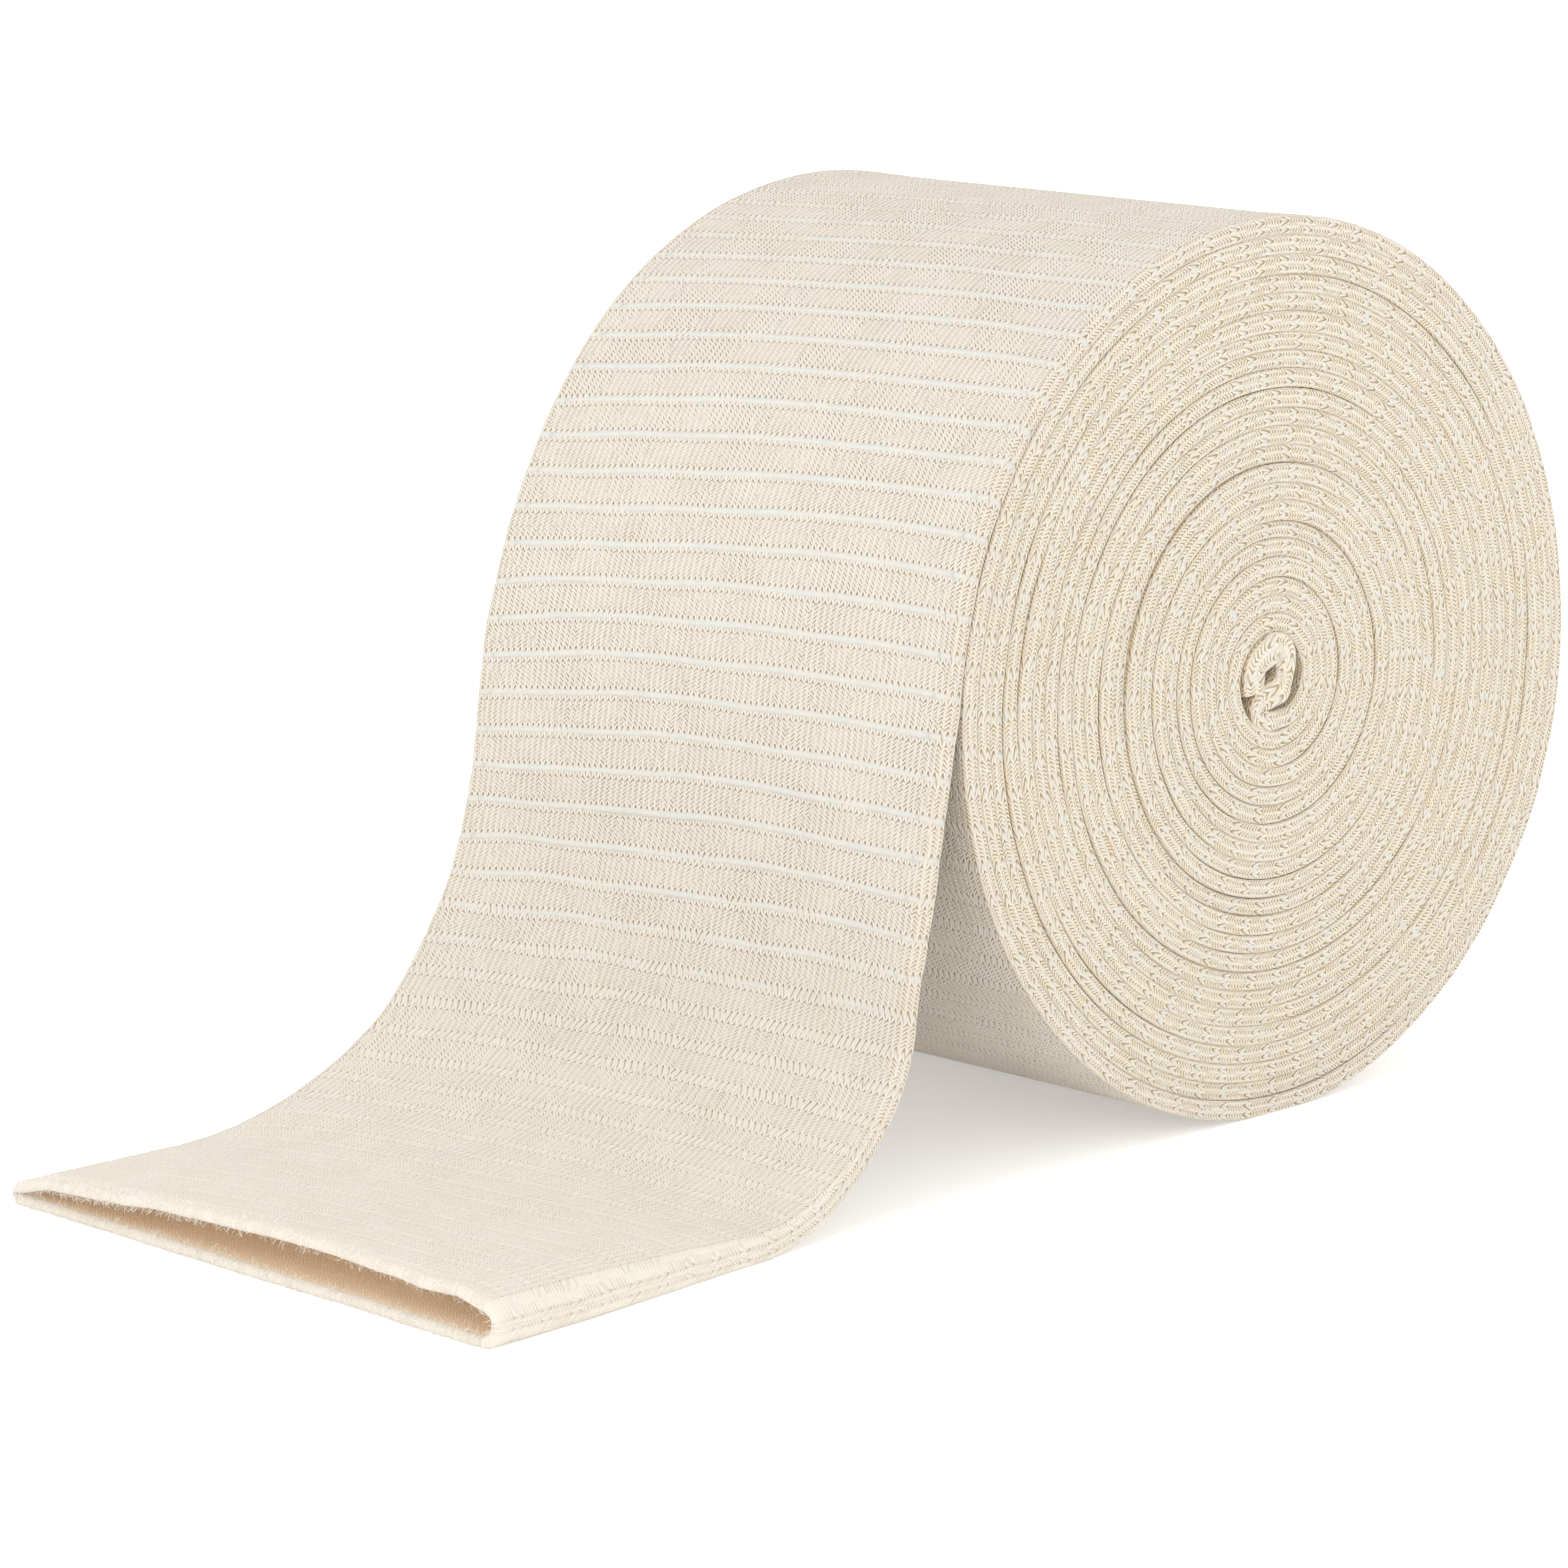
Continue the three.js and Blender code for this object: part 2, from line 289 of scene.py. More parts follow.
lift = PLY * height[None, :] * (1 + CORE_LOFT * in_core[:, None] + swell[:, None] * edge_nearness[None, :])
lift = lift + (loosened * waves(from_split, LIFT_WAVES))[:, None]
roll_x = middle[:, None, 0] + outward[:, None, 0] * lift
roll_z = middle[:, None, 1] + outward[:, None, 1] * lift
roll_points = np.stack([roll_x, y, np.maximum(roll_z, 0)], axis=-1)
ring_place = round_the_tube((2 * across - 1) * half_run + FOLD_DEPTH * sideways, PLY * height)
roll_around = np.tile(ring_place, (len(steps), 1))
roll_along = courses_from(from_split[:, None], y)
wound_turns = cloth_object("wound_turns", roll_points, roll_around, roll_along)


# The cloth of both pieces is undyed cotton yarn in plain knit: columns of V stitches along the band, courses
# across it, and a pinhole beside each leg of a stitch. Where a fold stretches it, it is warmer and more open.
# The material follows the knit's own places, so a stitch keeps its size over every fold and bend.
# The pinholes and the grooves beside the folds are darkened with painted shade, and inside the tube the cloth
# is tinted tan and glows with painted light.
WALE = 0.00105
THREAD_SPACING = 0.0053
THREAD_ROOM = 0.00089
COURSES_BESIDE_THREAD = 3
COURSE = (THREAD_SPACING / 2 - THREAD_ROOM) / COURSES_BESIDE_THREAD
LEG_SLANT = 1.7
WALE_SWAY = 0.0004
CREAM = (0.705, 0.645, 0.545, 1)
PALE_CREAM = (0.72, 0.67, 0.59, 1)
ROSY_CREAM = (0.72, 0.65, 0.575, 1)
FOLD_STRAW = (0.75, 0.66, 0.49, 1)
FOLD_PALE = (0.705, 0.68, 0.60, 1)
# Painted shade: a warm tan that darkens the grooves between the wound turns, a little off each fold.
GROOVE_SHADE_TAN = (0.70, 0.53, 0.33, 1)
THREAD_WHITE = (0.59, 0.578, 0.54, 1)
# Painted shade in the open pinholes: grey, and a warmer tan at the folds.
PINHOLE_SHADE_GREY = (0.31, 0.26, 0.19, 1)
PINHOLE_SHADE_TAN = (0.46, 0.34, 0.19, 1)
# Painted light inside the tube: a warm tan tint and a faint glow, for the light that comes through the knit
# and the shade within.
INSIDE_LIGHT_TAN = (0.78, 0.59, 0.39, 1)
INSIDE_GLOW = 0.15
mouth_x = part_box("free_end")[0].x

# Blotches to the metre, of each kind that the cloth has.
SWAY_SCALE = 260.0
PATCH_SCALE = 90.0
LEAN_SCALE = 130.0
WARM_SCALE = 150.0
ROSY_SCALE = 80.0
SPECKLE_SCALE = 330.0
FUZZ_SCALE = 2600.0

# Where each effect starts and where it is whole, as lengths on the cloth or as shares.
BESIDE_THREAD = (0.00020, 0.00042)
NEAR_FOLD = (0.0012, 0.0032)
SLIT_EDGE = (0.58, 0.97)
CROOK_EDGE = (0.10, 0.26)
PATCH_EDGE = (0.35, 0.70)
LEAN_EDGE = (0.45, 0.55)
OPEN_LEG_EDGE = (-0.08, 0.08)
RELAXED_EDGE = (0.055, 0.135)
SHUT_LIP = (mouth_x + 0.001, mouth_x + 0.004)
WARM_EDGE = (0.30, 0.72)
SPECKLE_EDGE = (0.6, 1.1)
WOUND_IN = (PLACE_AT_SPLIT + 0.25, PLACE_AT_SPLIT + 0.45)
# The painted shade in the grooves lies this far from a fold.
GROOVE_SHADE_STARTS = (0.0008, 0.0014)
GROOVE_SHADE_ENDS = (0.0020, 0.0028)
WRAPPED_EDGE = (0.0004, 0.0011)
INSIDE_EDGE = (INSIDE_SHIFT * 0.5, INSIDE_SHIFT * 0.6)
# The painted light inside the tube starts at the lip.
INSIDE_GLOW_FROM = (mouth_x - 0.0015, mouth_x + 0.0015)

# How far each effect goes, from its least to its most.
OPEN_BY_PATCH = (0.65, 1.0)
OPEN_BY_CHANCE = (0.5, 1.0)
OPEN_BY_LEG = (0.2, 1.2)
OPEN_BY_THREAD = 0.7
OPEN_AT_FOLD = (0.3, 0.9)
OPEN_FROM_MOUTH = (0.3, 1.0)
ROSY_SHARE = 0.5
SPECKLE_CHANCE = 0.7
SPECKLE_SHARE = (0.2, 0.75)
# How strong the painted shade in the grooves is, from patch to patch.
GROOVE_SHADE_SHARE = (0.3, 0.8)
WRAPPED_SHARE = 0.35
PALE_STITCH_SHARE = 0.25
# How much of the painted tan of light and shade inside the tube is mixed in.
INSIDE_LIGHT_SHARE = 0.7
LEG_ROUNDNESS = 0.6
LEG_BY_ROW = (0.4, 1.0)
LEG_RELIEF = 0.7
FUZZ_RELIEF = 0.35
KNIT_RELIEF = 0.00026


def add_node(tree, kind, inputs=(), **settings):
    """A node with its settings, and its inputs linked or set by place or name."""
    node = tree.nodes.new(kind)
    for name, value in settings.items():
        setattr(node, name, value)
    for key, value in dict(inputs).items():
        if isinstance(value, bpy.types.NodeSocket):
            tree.links.new(value, node.inputs[key])
        else:
            node.inputs[key].default_value = value
    return node


def maths(tree, operation, *values):
    """One step of arithmetic."""
    return add_node(tree, "ShaderNodeMath", enumerate(values), operation=operation).outputs[0]


def times(tree, first, second):
    """The product of two values."""
    return maths(tree, "MULTIPLY", first, second)


def rest_of_one(tree, share):
    """What a share leaves of 1."""
    return maths(tree, "SUBTRACT", 1.0, share)


def between(tree, share, least, most):
    """From the least at share 0 to the most at share 1."""
    return maths(tree, "MULTIPLY_ADD", share, most - least, least)


def soft_step(tree, value, low, high):
    """0 under low, 1 over high, and a smooth rise between."""
    inputs = {"Value": value, "From Min": low, "From Max": high}
    return add_node(tree, "ShaderNodeMapRange", inputs, interpolation_type="SMOOTHSTEP").outputs[0]


def mixed(tree, share, first, second):
    """A blend of two colours."""
    inputs = {"Factor": share, 6: first, 7: second}
    return add_node(tree, "ShaderNodeMix", inputs, data_type="RGBA").outputs[2]


def blotches(tree, where, scale, detail=2.0):
    """Smooth noise from 0 to 1."""
    inputs = {"Vector": where, "Scale": scale, "Detail": detail}
    return add_node(tree, "ShaderNodeTexNoise", inputs).outputs[0]


def stitch_places(tree):
    """Where each spot of the cloth lies: in its wale, its course and its stitch, by a thread, by a fold."""
    place = add_node(tree, "ShaderNodeUVMap", uv_map="knit").outputs[0]
    spot = add_node(tree, "ShaderNodeTexCoord").outputs["Object"]
    around, along, _ = add_node(tree, "ShaderNodeSeparateXYZ", {0: place}).outputs
    sway = maths(tree, "MULTIPLY_ADD", blotches(tree, place, SWAY_SCALE), WALE_SWAY, -WALE_SWAY / 2)
    wales = maths(tree, "DIVIDE", maths(tree, "ADD", around, sway), WALE)
    from_centre = maths(tree, "SUBTRACT", maths(tree, "FRACT", wales), 0.5)
    off_centre = maths(tree, "ABSOLUTE", from_centre)
    thread_place = maths(tree, "ADD", maths(tree, "DIVIDE", along, THREAD_SPACING), 0.5)
    beside = times(tree, maths(tree, "SUBTRACT", maths(tree, "FRACT", thread_place), 0.5), THREAD_SPACING)
    apart = maths(tree, "ABSOLUTE", beside)
    on_thread = maths(tree, "DIVIDE", apart, 2 * THREAD_ROOM)
    off_thread = maths(tree, "MULTIPLY_ADD", maths(tree, "SUBTRACT", apart, THREAD_ROOM), 1 / COURSE, 0.5)
    course = times(tree, maths(tree, "SIGN", beside), maths(tree, "MAXIMUM", on_thread, off_thread))
    leg_phase = maths(tree, "MULTIPLY_ADD", off_centre, LEG_SLANT, course)
    row = maths(tree, "MULTIPLY_ADD", maths(tree, "COSINE", times(tree, leg_phase, 2 * math.pi)), 0.5, 0.5)
    leg = maths(tree, "SINE", times(tree, off_centre, 2 * math.pi))
    course_count = 2.0 * (COURSES_BESIDE_THREAD + 1)
    which_course = maths(tree, "MULTIPLY_ADD", maths(tree, "FLOOR", thread_place), course_count,
                         maths(tree, "FLOOR", leg_phase))
    which_leg = maths(tree, "FLOOR", times(tree, wales, 2.0))
    stitch = add_node(tree, "ShaderNodeCombineXYZ", {0: which_leg, 1: which_course}).outputs[0]
    chance = add_node(tree, "ShaderNodeTexWhiteNoise", {"Vector": stitch}, noise_dimensions="2D").outputs[0]
    from_middle = maths(tree, "ABSOLUTE", maths(tree, "SUBTRACT", around, TUBE_ROUND / 2))
    from_fold = maths(tree, "ABSOLUTE", maths(tree, "SUBTRACT", from_middle, FLAT_WIDTH / 2))
    return {
        "place": place, "spot": spot, "spot_x": add_node(tree, "ShaderNodeSeparateXYZ", {0: spot}).outputs[0],
        "around": around, "from_centre": from_centre, "off_centre": off_centre, "from_thread": apart,
        "row": row, "leg": leg, "chance": chance, "from_fold": from_fold,
        "at_fold": rest_of_one(tree, soft_step(tree, from_fold, *NEAR_FOLD)),
        "patchy": soft_step(tree, blotches(tree, place, PATCH_SCALE), *PATCH_EDGE),
        "taut": soft_step(tree, along, *RELAXED_EDGE),
        "wound_in": soft_step(tree, along, *WOUND_IN),
    }


def pinholes(tree, knit):
    """How open the knit is: a slit along each leg, wider by a thread and at a fold, and shut at the lip."""
    slit = soft_step(tree, rest_of_one(tree, knit["row"]), *SLIT_EDGE)
    crook = rest_of_one(tree, soft_step(tree, knit["off_centre"], *CROOK_EDGE))
    edge_of_thread = maths(tree, "ABSOLUTE", maths(tree, "SUBTRACT", knit["from_thread"], THREAD_ROOM))
    by_thread = rest_of_one(tree, soft_step(tree, edge_of_thread, *BESIDE_THREAD))
    lean = between(tree, soft_step(tree, blotches(tree, knit["place"], LEAN_SCALE), *LEAN_EDGE), -1.0, 1.0)
    open_leg = soft_step(tree, times(tree, knit["from_centre"], lean), *OPEN_LEG_EDGE)
    opened = between(tree, knit["patchy"], *OPEN_BY_PATCH)
    opened = times(tree, opened, between(tree, knit["chance"], *OPEN_BY_CHANCE))
    opened = times(tree, opened, between(tree, open_leg, *OPEN_BY_LEG))
    opened = maths(tree, "MULTIPLY_ADD", times(tree, by_thread, crook), OPEN_BY_THREAD, opened)
    fold_crook = times(tree, knit["at_fold"], crook)
    opened = maths(tree, "MULTIPLY_ADD", fold_crook, between(tree, knit["chance"], *OPEN_AT_FOLD), opened)
    opened = times(tree, opened, between(tree, knit["taut"], *OPEN_FROM_MOUTH))
    opened = times(tree, opened, soft_step(tree, knit["spot_x"], *SHUT_LIP))
    return times(tree, slit, opened)


def cloth_colour(tree, knit, pinhole, inside):
    """Cream cotton, warm and rosy in blotches and speckled at the folds, with painted shade in the grooves
    beside the folds and in the pinholes, and a tan tint of painted warm light and shade inside the tube.
    """
    warm = soft_step(tree, blotches(tree, knit["spot"], WARM_SCALE, 3.0), *WARM_EDGE)
    rosy = soft_step(tree, blotches(tree, knit["spot"], ROSY_SCALE), *PATCH_EDGE)
    cloth = mixed(tree, warm, PALE_CREAM, CREAM)
    cloth = mixed(tree, times(tree, rosy, ROSY_SHARE), cloth, ROSY_CREAM)
    flecks = blotches(tree, knit["place"], SPECKLE_SCALE)
    flecks = maths(tree, "MULTIPLY_ADD", knit["chance"], SPECKLE_CHANCE, flecks)
    speckled = mixed(tree, soft_step(tree, flecks, *SPECKLE_EDGE), FOLD_PALE, FOLD_STRAW)
    speckle = times(tree, knit["at_fold"], knit["taut"])
    speckle = times(tree, speckle, between(tree, knit["wound_in"], *SPECKLE_SHARE))
    cloth = mixed(tree, speckle, cloth, speckled)
    # Painted shade: a warm tan band a little off each fold, where the grooves between the wound turns lie in
    # shade.
    groove_shade = times(tree, soft_step(tree, knit["from_fold"], *GROOVE_SHADE_STARTS),
                   rest_of_one(tree, soft_step(tree, knit["from_fold"], *GROOVE_SHADE_ENDS)))
    groove_shade = times(tree, groove_shade, between(tree, knit["patchy"], *GROOVE_SHADE_SHARE))
    cloth = mixed(tree, times(tree, groove_shade, knit["wound_in"]), cloth, GROOVE_SHADE_TAN)
    wrapped = rest_of_one(tree, soft_step(tree, knit["from_thread"], *WRAPPED_EDGE))
    wrapped = times(tree, knit["at_fold"], wrapped)
    cloth = mixed(tree, times(tree, wrapped, WRAPPED_SHARE), cloth, THREAD_WHITE)
    cloth = mixed(tree, times(tree, knit["chance"], PALE_STITCH_SHARE), cloth, PALE_CREAM)
    # Painted shade: the open pinholes are darkened for the shade inside them, grey, and tan at the folds.
    cloth = mixed(tree, pinhole, cloth, mixed(tree, knit["at_fold"], PINHOLE_SHADE_GREY, PINHOLE_SHADE_TAN))
    # Painted light and shade: the inside skin beyond the lip is tinted tan, for warm light through the knit
    # and the shade within.
    return mixed(tree, times(tree, inside, INSIDE_LIGHT_SHARE), cloth, INSIDE_LIGHT_TAN)


def cotton_knit(name):
    """The knit's colour, pinholes and relief, and a glow inside the tube for light that comes through it."""
    material = bpy.data.materials.new(name)
    material.use_nodes = True
    material.cycles.emission_sampling = "NONE"
    tree = material.node_tree
    surface = tree.nodes["Principled BSDF"]
    knit = stitch_places(tree)
    pinhole = pinholes(tree, knit)
    # Painted light: beyond the lip the inside skin is tinted tan and made to glow faintly, standing in for
    # warm light that comes through the knit and the shade inside the tube.
    inside = times(tree, soft_step(tree, knit["around"], *INSIDE_EDGE),
                   soft_step(tree, knit["spot_x"], *INSIDE_GLOW_FROM))
    cloth = cloth_colour(tree, knit, pinhole, inside)
    tree.links.new(cloth, surface.inputs["Base Color"])
    tree.links.new(cloth, surface.inputs["Emission Color"])
    tree.links.new(times(tree, inside, INSIDE_GLOW), surface.inputs["Emission Strength"])

    fuzz = blotches(tree, knit["spot"], FUZZ_SCALE, 3.0)
    rounded = maths(tree, "POWER", knit["leg"], LEG_ROUNDNESS)
    rounded = times(tree, rounded, between(tree, knit["row"], *LEG_BY_ROW))
    relief = maths(tree, "MULTIPLY_ADD", fuzz, FUZZ_RELIEF, times(tree, rounded, LEG_RELIEF))
    relief = maths(tree, "SUBTRACT", relief, pinhole)
    bump = add_node(tree, "ShaderNodeBump", {"Height": relief, "Distance": KNIT_RELIEF, "Strength": 0.75})
    tree.links.new(bump.outputs[0], surface.inputs["Normal"])
    surface.inputs["Roughness"].default_value = 0.95
    surface.inputs["Specular IOR Level"].default_value = 0.15
    surface.inputs["Sheen Weight"].default_value = 0.12
    surface.inputs["Sheen Roughness"].default_value = 0.6
    return material


cotton = cotton_knit("cotton_knit")
wound_turns.data.materials.append(cotton)
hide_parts("wound_roll")
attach(wound_turns, "root")


# The free end is the last stretch of the same tube. It comes off the roll earlier at its far edge than at its
# near one, hangs and bends out flat on the floor. At the cut it gapes, wider where it is relaxed, and its lip
# is soft.
NEAR_LEAVE_ANGLE = 166
FAR_LEAVE_ANGLE = 142
NEAR_HANG_LEAN = 11
FAR_HANG_LEAN = 9
SLACK_RADIUS = 0.084
NEAR_BEND_RADIUS = 0.030
FAR_BEND_RADIUS = 0.057
FLAT_RUN = 0.050
MOUTH_HOLLOW = 0.0050
MOUTH_TAPER = 0.080
MOUTH_WIDTH = 0.097
FLARE_LENGTH = 0.075
SLIT = 0.0002
MOUTH_SECTIONS = [
    {"across": 0.0, "gape": 0.72},
    {"across": 0.05, "gape": 0.97},
    {"across": 0.3, "gape": 0.94},
    {"across": 0.55, "gape": 0.97},
    {"across": 0.78, "gape": 0.82},
    {"across": 0.93, "gape": 0.46},
    {"across": 1.0, "gape": 0.08},
]
MOUTH_ROUNDNESS = 1.0
LIP_ROLL = 0.0009
LIP_SWELL = 0.35
LIP_SWELL_REACH = 0.0035
LIP_WAVES = [
    {"size": 0.0006, "length": 0.017, "seed": 37},
    {"size": 0.0003, "length": 0.006, "seed": 38},
]
LIP_WAVE_REACH = 0.016
RAGGED_CUT = [
    {"size": 0.0007, "length": 0.013, "seed": 35},
    {"size": 0.00025, "length": 0.0035, "seed": 36},
]
RAGGED_REACH = 0.014
RAGGED_BELOW = 0.65
SCALLOPS = [
    {"size": 0.00022, "length": 0.011, "seed": 31},
    {"size": 0.00010, "length": 0.003, "seed": 32},
]
EASE_WAVES = [
    {"size": 0.00035, "length": 0.037, "seed": 33, "lean": 0.5},
    {"size": 0.00020, "length": 0.019, "seed": 34, "lean": -0.8},
]
EASE_REACH = 0.03
EASE_AT_LIP = 0.25
FREE_LOOSE_SHARE = 1 / 6
PINCH_DEPTH = 0.00006
PINCH_REACH = 0.16
HOLLOW_START = 0.16
FREE_STATIONS = 180
INSIDE_STATIONS = 70
SLIT_STATIONS = 12
LIP_STEPS = 7
ARC_STEPS = 60
FACING_NUDGE = 0.0006


def leaning_out(lean):
    """The way out from cloth that hangs with this lean from upright, as x and z."""
    return np.stack([-np.cos(np.radians(lean)), np.sin(np.radians(lean))], axis=-1)


def free_path(leave_angle, hang_lean, bend_radius, mouth_x=None):
    """The back of the cloth from the split: round the roll, slack, straight, bent, then flat to the mouth."""
    round_roll = roll_point(np.linspace(SPLIT_ANGLE, leave_angle, ARC_STEPS), -PLY)
    nudge = FINE_STEP / 20
    beside = roll_point(np.array([leave_angle + nudge, leave_angle - nudge]), -PLY)
    leave_lean = math.degrees(math.atan2(*(beside[1] - beside[0])))
    slack_centre = round_roll[-1] - SLACK_RADIUS * leaning_out(leave_lean)
    slack = slack_centre + SLACK_RADIUS * leaning_out(np.linspace(leave_lean, hang_lean, ARC_STEPS)[1:])
    back_bend = bend_radius + PLY
    bend_top = back_bend * (1 - math.sin(math.radians(hang_lean)))
    hang = max(0, (slack[-1][1] - bend_top) / math.cos(math.radians(hang_lean)))
    down = np.array([-math.sin(math.radians(hang_lean)), -math.cos(math.radians(hang_lean))])
    bend_start = slack[-1] + hang * down
    bend_centre = bend_start + back_bend * leaning_out(hang_lean)
    bend = bend_centre - back_bend * leaning_out(np.linspace(hang_lean, 90, ARC_STEPS))
    mouth_x = bend[-1][0] - FLAT_RUN if mouth_x is None else mouth_x
    return np.vstack([round_roll, slack, bend, [[mouth_x, bend[-1][1]]]])


near_path = free_path(NEAR_LEAVE_ANGLE, NEAR_HANG_LEAN, NEAR_BEND_RADIUS)
far_path = free_path(FAR_LEAVE_ANGLE, FAR_HANG_LEAN, FAR_BEND_RADIUS, near_path[-1][0])
near_length = lengths_along(near_path)[-1]
far_length = lengths_along(far_path)[-1]
across, round_height, round_sideways = tube_columns(face_steps=40, back_steps=30, fold_steps=9)
gape = np.interp(across, [section["across"] for section in MOUTH_SECTIONS],
                 [section["gape"] for section in MOUTH_SECTIONS])
pressed_sideways = (2 * across - 1) * half_run + FOLD_DEPTH * squared_off(round_sideways, FOLD_SQUARENESS)
around_free = round_the_tube(pressed_sideways, PLY * squared_off(round_height, FOLD_SQUARENESS))
near_column = int(np.argmax(across == 0))
far_column = int(np.argmax(across == 1))


def free_rings(share, inset, past):
    """Rings of the free end at shares of the way down, drawn in from its skin and out past the cut."""
    near_point, near_out = walk(near_path, share * near_length, FACING_NUDGE)
    far_point, far_out = walk(far_path, share * far_length, FACING_NUDGE)
    share, inset, past = share[:, None], inset[:, None], past[:, None]
    from_mouth = (1 - share) * near_length
    back = near_point[:, None] + (far_point - near_point)[:, None] * across[None, :, None]
    out = near_out[:, None] + (far_out - near_out)[:, None] * across[None, :, None]
    out /= np.linalg.norm(out, axis=2)[..., None]
    opened = 0.5 + 0.5 * np.cos(np.pi * np.minimum(1, from_mouth / MOUTH_TAPER))
    hollow = SLIT + (MOUTH_HOLLOW - SLIT) * gape * opened
    hollow = hollow * ramp((share - HOLLOW_START / 2) * 2 / HOLLOW_START)
    power = FOLD_SQUARENESS + (MOUTH_ROUNDNESS - FOLD_SQUARENESS) * ramp(2 * share - 1)
    height = squared_off(round_height, power)
    sideways = squared_off(round_sideways, power)
    half_thick = PLY + hollow / 2
    edge_thick = np.where(across < 0.5, half_thick[:, [near_column]], half_thick[:, [far_column]])
    fold_depth = FOLD_DEPTH - PLY + edge_thick
    flare = ramp((FLARE_LENGTH - from_mouth) / FLARE_LENGTH)
    half_span = (FLAT_WIDTH + (MOUTH_WIDTH - FLAT_WIDTH) * flare) / 2
    loosened = ramp(share / FREE_LOOSE_SHARE)
    y = (2 * across - 1) * (half_span - fold_depth) + (fold_depth - inset) * sideways
    along = -share * (near_length + (far_length - near_length) * across)
    thread_phase = courses_from(along, y) / THREAD_SPACING
    pinch = np.exp(-((thread_phase - np.round(thread_phase)) / PINCH_REACH) ** 2)
    y = y + loosened * waves(along, SCALLOPS) * sideways
    swell = FOLD_SWELL * np.exp(-((half_span - fold_depth) * (1 - np.abs(2 * across - 1)) / SWELL_REACH) ** 2)
    at_lip = np.exp(-(from_mouth / LIP_SWELL_REACH) ** 2)
    lift = half_thick + (half_thick - inset * (1 + LIP_SWELL * at_lip)) * height * (1 + swell)
    ease = waves(along, EASE_WAVES, y) * ramp(from_mouth / EASE_REACH + EASE_AT_LIP)
    lift = lift + loosened * (ease - PINCH_DEPTH * pinch * height * (inset == 0))
    lip_wave = waves(around_free[:-1], LIP_WAVES) * ramp(1 - from_mouth / LIP_WAVE_REACH)
    lift = lift + lip_wave * np.maximum(height, 0)
    ragged = waves(around_free[:-1], RAGGED_CUT) * (RAGGED_BELOW + (1 - RAGGED_BELOW) * round_height)
    ragged = ragged * ramp(1 - from_mouth / RAGGED_REACH)
    x = back[..., 0] + out[..., 0] * lift - past + ragged
    z = back[..., 1] + out[..., 1] * lift
    return np.stack([x, y, np.maximum(z, 0.0)], axis=-1), along


round_lip = np.linspace(0, np.pi, LIP_STEPS + 2)[1:-1]
outside = np.linspace(0, 1 - LIP_ROLL / near_length, FREE_STATIONS)
inside = np.concatenate([np.linspace(outside[-1], 0.5, INSIDE_STATIONS),
                         np.linspace(0.5, HOLLOW_START, SLIT_STATIONS)[1:]])
share = np.concatenate([outside, np.full(LIP_STEPS, outside[-1]), inside])
lip_inset = PLY * (1 - np.cos(round_lip)) / 2
inset = np.concatenate([np.zeros(FREE_STATIONS), lip_inset, np.full(len(inside), PLY)])
past = np.concatenate([np.zeros(FREE_STATIONS), LIP_ROLL * np.sin(round_lip), np.zeros(len(inside))])
free_points, free_along = free_rings(share, inset, past)
free_end = cloth_object("free_end_cloth", free_points, np.tile(around_free, (len(share), 1)),
                        courses_from(free_along, free_points[..., 1]), inside_from=FREE_STATIONS + LIP_STEPS)
free_end.data.materials.append(cotton)
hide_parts("free_end")
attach(free_end, "root")


# The elastic is white rubber thread covered in fine yarn, knitted in across the whole tube every few courses.
# It shows as a pale line over the stitches, runs on round both folds, and grips the cloth a little under it.
THREAD_HALF_WIDTH = 0.0006
THREAD_HALF_HEIGHT = 0.0001
THREAD_SUNK = 0.00006
FOLD_SUNK = 0.00007
THREAD_WANDER = 0.00010
FOLD_WANDER = 0.00022
THREAD_WRAP = 0.0034
OVER_FOLD = 0.0005
RELAXED_BELOW = 0.13
RELAXED_SINK = 0.00012
RELAXED_RUN = 0.6
SNUG_ABOVE = 0.212
SNUG_SINK = 0.00004
SNUG_RUN = 1.15
BOB_SCALE = 170.0
CROSSED_SCALE = 700.0
CROSSED_EDGE = (0.42, 0.62)
CROSSED_SHARE = 0.3
THREAD_RELIEF = 0.0001
THREAD_SIDES = 6


def covered_elastic(name):
    """White yarn wound round rubber, with stitches of cotton lying over it here and there."""
    material = bpy.data.materials.new(name)
    material.use_nodes = True
    tree = material.node_tree
    surface = tree.nodes["Principled BSDF"]
    spot = add_node(tree, "ShaderNodeTexCoord").outputs["Object"]
    crossed = soft_step(tree, blotches(tree, spot, CROSSED_SCALE), *CROSSED_EDGE)
    colour = mixed(tree, times(tree, crossed, CROSSED_SHARE), THREAD_WHITE, CREAM)
    tree.links.new(colour, surface.inputs["Base Color"])
    bump = add_node(tree, "ShaderNodeBump", {
        "Height": blotches(tree, spot, FUZZ_SCALE), "Distance": THREAD_RELIEF, "Strength": 0.4})
    tree.links.new(bump.outputs[0], surface.inputs["Normal"])
    surface.inputs["Roughness"].default_value = 0.8
    surface.inputs["Specular IOR Level"].default_value = 0.25
    return material


def above_floor(tree, geometry):
    """The same geometry, with what would reach under the floor bent up to lie on it."""
    here = tree.nodes.new("GeometryNodeInputPosition").outputs[0]
    x, y, z = add_node(tree, "ShaderNodeSeparateXYZ", {0: here}).outputs
    z = maths(tree, "MAXIMUM", z, 0.0)
    raised = add_node(tree, "ShaderNodeCombineXYZ", {0: x, 1: y, 2: z}).outputs[0]
    return add_node(tree, "GeometryNodeSetPosition", {"Geometry": geometry, "Position": raised}).outputs[0]


